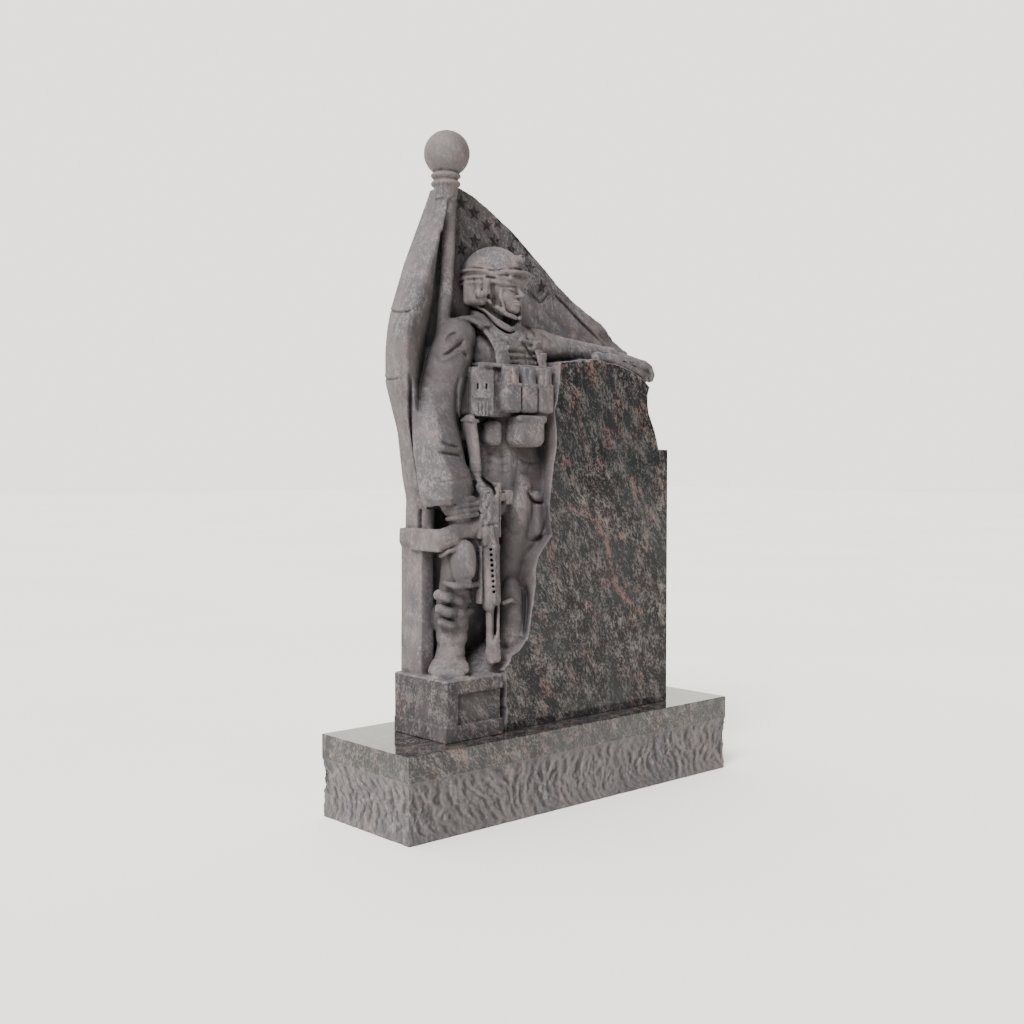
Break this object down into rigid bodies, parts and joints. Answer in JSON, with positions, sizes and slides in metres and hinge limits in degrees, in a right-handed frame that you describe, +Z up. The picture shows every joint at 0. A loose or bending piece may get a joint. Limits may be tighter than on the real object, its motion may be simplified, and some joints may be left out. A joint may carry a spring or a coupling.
{
  "type": "granite headstone",
  "caption": "Granite headstone: a carved soldier leans on a polished slab before a draped flag on a pole, set on a rock-pitched base.",
  "frame": {"origin": "centre of the base's underside", "axes": "+Z up; the front faces -Y; the pole and the soldier stand at the -X end, the slab at the +X end"},
  "size_m": [1.105, 0.342, 1.6515],
  "materials": {
    "base_granite": "polished top and margin, rock-pitched sides",
    "tablet_granite": "carved and left matt, with a polished front on the slab"
  },
  "bodies": {
    "root": {"base": "base_granite", "tablet": "tablet_granite"}
  },
  "joints": []
}
